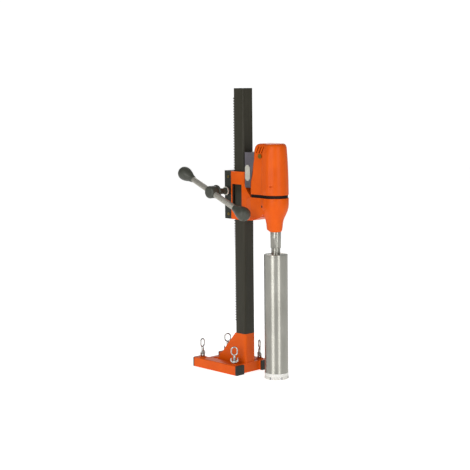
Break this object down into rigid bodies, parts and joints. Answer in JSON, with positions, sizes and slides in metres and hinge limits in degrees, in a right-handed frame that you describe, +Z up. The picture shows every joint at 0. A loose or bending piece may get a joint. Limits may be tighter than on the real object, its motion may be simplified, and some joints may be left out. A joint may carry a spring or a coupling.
{
  "type": "core drill rig",
  "caption": "Electric core drill on a geared square column with a crank-fed carriage, H-shaped levelling base and a long core bit.",
  "frame": {"origin": "on the floor plane, under the column's axis, on the underside of the front cross plate", "axes": "+Z up along the column, -Y towards the drill and bit, -X towards the feed crank"},
  "size_m": [0.2185, 0.4143, 1.012],
  "materials": {
    "orange_steel": "powder coated",
    "orange_casting": "powder coated casting",
    "orange_cover": "moulded, semi-gloss",
    "column_grey": "dark grey paint",
    "rack_steel": "milled, oiled",
    "bit_steel": "turned tube",
    "crown_metal": "sintered, ground",
    "chromed_steel": "bright plated",
    "plain_steel": "machined",
    "handle_steel": "galvanised",
    "yellow_zinc": "yellow passivated zinc",
    "black_plastic": "fine grain",
    "grey_plastic": "fine grain",
    "label_grey": "printed plate, blank",
    "natural_polymer": "acetal",
    "seal_rubber": "moulded",
    "bearing_bronze": "sintered",
    "brush_brass": "machined",
    "carbon": "pressed carbon",
    "lamination": "varnished",
    "red_rocker": "moulded"
  },
  "bodies": {
    "base": {"base_plate": "orange_steel", "front_cross_plate": "orange_steel", "left_rail": "orange_steel", "right_rail": "orange_steel", "rail_plugs": "black_plastic", "column_bracket": "orange_steel", "column_spigot": "plain_steel", "column_tube": "column_grey", "column_cap": "black_plastic", "gear_rack": "rack_steel", "rack_screws": "plain_steel", "levelling_inserts": "plain_steel"},
    "crank": {"pinion_shaft": "plain_steel", "crank_hub": "black_plastic", "crank_bar": "handle_steel", "crank_knobs": "black_plastic"},
    "spindle_unit": {"spindle": "chromed_steel", "spindle_gear": "plain_steel", "bit_adapter": "chromed_steel", "core_barrel": "bit_steel", "crown_segments": "crown_metal"},
    "layshaft_unit": {"layshaft": "plain_steel", "layshaft_gear": "plain_steel"},
    "armature": {"armature_shaft": "plain_steel", "armature_core": "lamination", "commutator": "bearing_bronze", "fan": "black_plastic"},
    "switch": {"switch_rocker": "red_rocker"},
    "pad_front_left": {"foot_pad_front_left": "chromed_steel"},
    "screw_front_left": {"eye_screw_front_left": "chromed_steel"},
    "wing_front_left": {"wing_nut_front_left": "chromed_steel"},
    "pad_rear_left": {"foot_pad_rear_left": "chromed_steel"},
    "screw_rear_left": {"eye_screw_rear_left": "chromed_steel"},
    "wing_rear_left": {"wing_nut_rear_left": "chromed_steel"},
    "pad_front_right": {"foot_pad_front_right": "chromed_steel"},
    "screw_front_right": {"eye_screw_front_right": "chromed_steel"},
    "wing_front_right": {"wing_nut_front_right": "chromed_steel"},
    "pad_rear_right": {"foot_pad_rear_right": "chromed_steel"},
    "screw_rear_right": {"eye_screw_rear_right": "chromed_steel"},
    "wing_rear_right": {"wing_nut_rear_right": "chromed_steel"},
    "carriage": {"carriage_casting": "orange_casting", "motor_cover": "orange_cover", "spindle_bearings": "plain_steel", "layshaft_bearings": "plain_steel", "armature_bearings": "plain_steel", "motor_screws": "plain_steel", "crank_ring": "chromed_steel", "cover_bolts": "yellow_zinc", "rear_cover": "black_plastic", "bearing_plate": "black_plastic", "control_box": "grey_plastic", "label_plate": "label_grey", "guide_liners": "natural_polymer", "spindle_seal": "seal_rubber", "cable_gland": "seal_rubber", "pinion_bushes": "bearing_bronze", "brush_caps": "brush_brass", "brushes": "carbon", "stator": "lamination"}
  },
  "joints": [
    {"name": "carriage_feed", "type": "slide", "parent": "base", "child": "carriage", "axis": [0, 0, 1], "range_m": [-0.385, 0.265]},
    {"name": "crank_turn", "type": "hinge", "parent": "carriage", "child": "crank", "pos_m": [-0.05, 0.048, 0.651], "axis": [1, 0, 0], "range_deg": [-1472, 1014]},
    {"name": "spindle_spin", "type": "hinge", "parent": "carriage", "child": "spindle_unit", "pos_m": [0, -0.1564, 0.5], "axis": [0, 0, 1], "continuous": true},
    {"name": "layshaft_spin", "type": "hinge", "parent": "carriage", "child": "layshaft_unit", "pos_m": [0.01503, -0.1358, 0.6], "axis": [0, 0, 1], "continuous": true},
    {"name": "armature_spin", "type": "hinge", "parent": "carriage", "child": "armature", "pos_m": [0, -0.122, 0.7], "axis": [0, 0, 1], "continuous": true},
    {"name": "switch_rock", "type": "hinge", "parent": "carriage", "child": "switch", "pos_m": [0.036, -0.0565, 0.73], "axis": [0, 1, 0], "range_deg": [0, 13]},
    {"name": "screw_turn_front_left", "type": "hinge", "parent": "pad_front_left", "child": "screw_front_left", "pos_m": [-0.063, -0.008, 0.05], "axis": [0, 0, 1], "range_deg": [-2521, 0]},
    {"name": "pad_travel_front_left", "type": "slide", "parent": "base", "child": "pad_front_left", "axis": [0, 0, 1], "range_m": [-0.0105, 0]},
    {"name": "wing_turn_front_left", "type": "hinge", "parent": "base", "child": "wing_front_left", "pos_m": [-0.063, -0.008, 0.044], "axis": [0, 0, 1], "range_deg": [0, 90]},
    {"name": "screw_turn_rear_left", "type": "hinge", "parent": "pad_rear_left", "child": "screw_rear_left", "pos_m": [-0.063, 0.16, 0.05], "axis": [0, 0, 1], "range_deg": [-2521, 0]},
    {"name": "pad_travel_rear_left", "type": "slide", "parent": "base", "child": "pad_rear_left", "axis": [0, 0, 1], "range_m": [-0.0105, 0]},
    {"name": "wing_turn_rear_left", "type": "hinge", "parent": "base", "child": "wing_rear_left", "pos_m": [-0.063, 0.16, 0.044], "axis": [0, 0, 1], "range_deg": [0, 90]},
    {"name": "screw_turn_front_right", "type": "hinge", "parent": "pad_front_right", "child": "screw_front_right", "pos_m": [0.063, -0.008, 0.05], "axis": [0, 0, 1], "range_deg": [-2521, 0]},
    {"name": "pad_travel_front_right", "type": "slide", "parent": "base", "child": "pad_front_right", "axis": [0, 0, 1], "range_m": [-0.0105, 0]},
    {"name": "wing_turn_front_right", "type": "hinge", "parent": "base", "child": "wing_front_right", "pos_m": [0.063, -0.008, 0.044], "axis": [0, 0, 1], "range_deg": [0, 90]},
    {"name": "screw_turn_rear_right", "type": "hinge", "parent": "pad_rear_right", "child": "screw_rear_right", "pos_m": [0.063, 0.16, 0.05], "axis": [0, 0, 1], "range_deg": [-2521, 0]},
    {"name": "pad_travel_rear_right", "type": "slide", "parent": "base", "child": "pad_rear_right", "axis": [0, 0, 1], "range_m": [-0.0105, 0]},
    {"name": "wing_turn_rear_right", "type": "hinge", "parent": "base", "child": "wing_rear_right", "pos_m": [0.063, 0.16, 0.044], "axis": [0, 0, 1], "range_deg": [0, 90]}
  ],
  "couplings": [
    {"joint": "crank_turn", "follows": "carriage_feed", "rad_per_m": 66.667},
    {"joint": "layshaft_spin", "follows": "spindle_spin", "ratio": -2},
    {"joint": "armature_spin", "follows": "spindle_spin", "ratio": 6},
    {"joint": "screw_turn_front_left", "follows": "pad_travel_front_left", "rad_per_m": 4188.8},
    {"joint": "screw_turn_rear_left", "follows": "pad_travel_rear_left", "rad_per_m": 4188.8},
    {"joint": "screw_turn_front_right", "follows": "pad_travel_front_right", "rad_per_m": 4188.8},
    {"joint": "screw_turn_rear_right", "follows": "pad_travel_rear_right", "rad_per_m": 4188.8}
  ]
}
